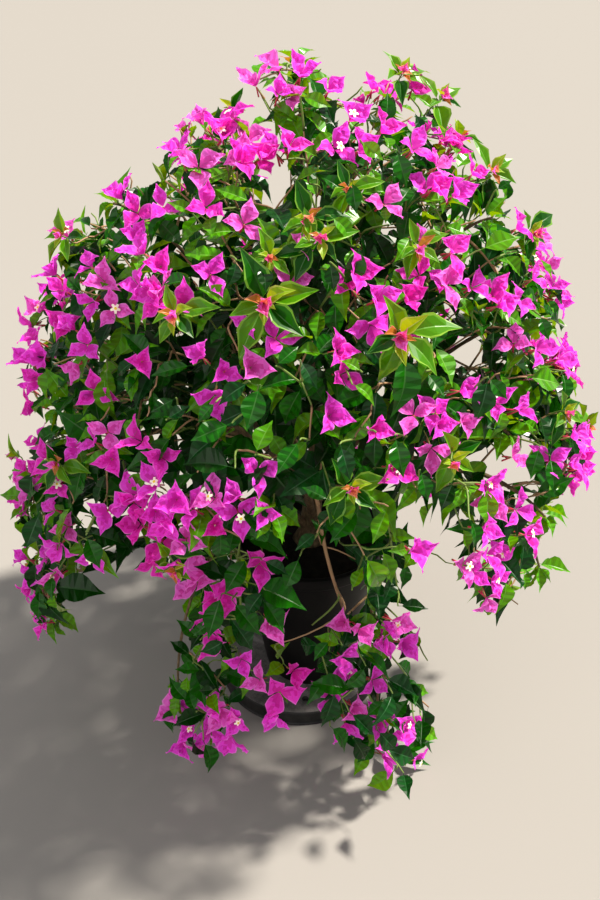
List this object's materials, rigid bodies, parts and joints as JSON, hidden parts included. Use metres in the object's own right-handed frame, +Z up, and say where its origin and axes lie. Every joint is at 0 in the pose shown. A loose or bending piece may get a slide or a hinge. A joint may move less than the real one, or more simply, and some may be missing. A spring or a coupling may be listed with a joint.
{
  "type": "bougainvillea bush",
  "caption": "Bougainvillea bush in flower: a round crown of arching boughs with magenta bracts and green leaves, trailing over a tapered black pot on a round base.",
  "frame": {"origin": "on the ground, at the middle of the flat underside of the round base", "axes": "+Z up along the plant, -Y towards the front that the picture shows, +X to the right of it"},
  "size_m": [0.6698, 0.6593, 0.8049],
  "materials": {
    "pot_plastic": "black moulded plastic with light dust and scuffs",
    "base_plastic": "dull black plastic under grey dust",
    "soil": "dark moist potting soil",
    "bark": "tan bark with fine ridges, greener on young stems",
    "foliage": "glossy dark green leaves with a paler midrib",
    "blossom": "papery magenta bracts with fine veins",
    "star_flower": "small waxy cream-white flowers"
  },
  "bodies": {
    "root": {"base": "base_plastic", "pot": "pot_plastic", "soil": "soil", "trunk": "bark", "bough_top": "bark", "foliage_top": "foliage", "bough_upper_1": "bark", "foliage_upper_1": "foliage", "bough_upper_2": "bark", "foliage_upper_2": "foliage", "bough_upper_3": "bark", "foliage_upper_3": "foliage", "bough_upper_4": "bark", "foliage_upper_4": "foliage", "bough_upper_5": "bark", "foliage_upper_5": "foliage", "bough_middle_1": "bark", "foliage_middle_1": "foliage", "bough_middle_2": "bark", "foliage_middle_2": "foliage", "bough_middle_3": "bark", "foliage_middle_3": "foliage", "bough_middle_4": "bark", "foliage_middle_4": "foliage", "bough_middle_5": "bark", "foliage_middle_5": "foliage", "bough_middle_6": "bark", "foliage_middle_6": "foliage", "bough_middle_7": "bark", "foliage_middle_7": "foliage", "bough_lower_1": "bark", "foliage_lower_1": "foliage", "bough_lower_2": "bark", "foliage_lower_2": "foliage", "bough_lower_3": "bark", "foliage_lower_3": "foliage", "bough_lower_4": "bark", "foliage_lower_4": "foliage", "bough_lower_5": "bark", "foliage_lower_5": "foliage", "bough_skirt_1": "bark", "foliage_skirt_1": "foliage", "bough_skirt_2": "bark", "foliage_skirt_2": "foliage", "bough_skirt_3": "bark", "foliage_skirt_3": "foliage", "bough_skirt_4": "bark", "foliage_skirt_4": "foliage", "bough_cascade_1": "bark", "foliage_cascade_1": "foliage", "bough_cascade_2": "bark", "foliage_cascade_2": "foliage"}
  },
  "joints": []
}
